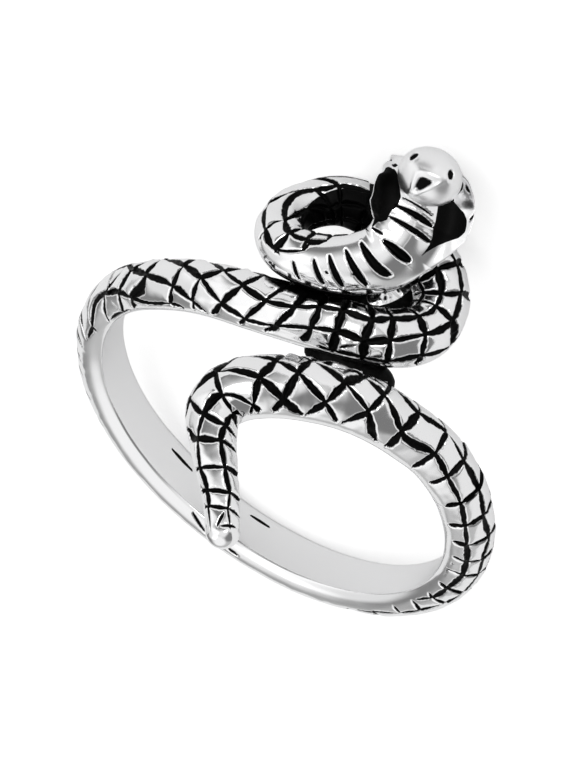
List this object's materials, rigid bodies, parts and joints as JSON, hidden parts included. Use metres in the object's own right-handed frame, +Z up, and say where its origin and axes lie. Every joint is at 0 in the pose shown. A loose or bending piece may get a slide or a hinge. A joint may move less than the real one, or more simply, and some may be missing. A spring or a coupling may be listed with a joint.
{
  "type": "snake ring",
  "caption": "Cast silver finger ring shaped as a snake: the tail hooks forward, the scaled body closes the band, and the neck coils on top and opens into a raised hood and head.",
  "frame": {"origin": "centre of the finger hole, on its axis and midway through the band", "axes": "the ring lies on its back as it rests on a table, so +Z is up; +Y points from the bottom of the band to the coil and head; +X is to the wearer's right of the snake's head end; the finger hole's axis leans back by 16.6 degrees from +Z, towards -Y"},
  "size_m": [0.0208, 0.0275, 0.0174],
  "materials": {
    "silver": "polished cast silver, with the grooves between the scales and the hollows blackened"
  },
  "bodies": {
    "root": {"snake_ring": "silver"}
  },
  "joints": []
}
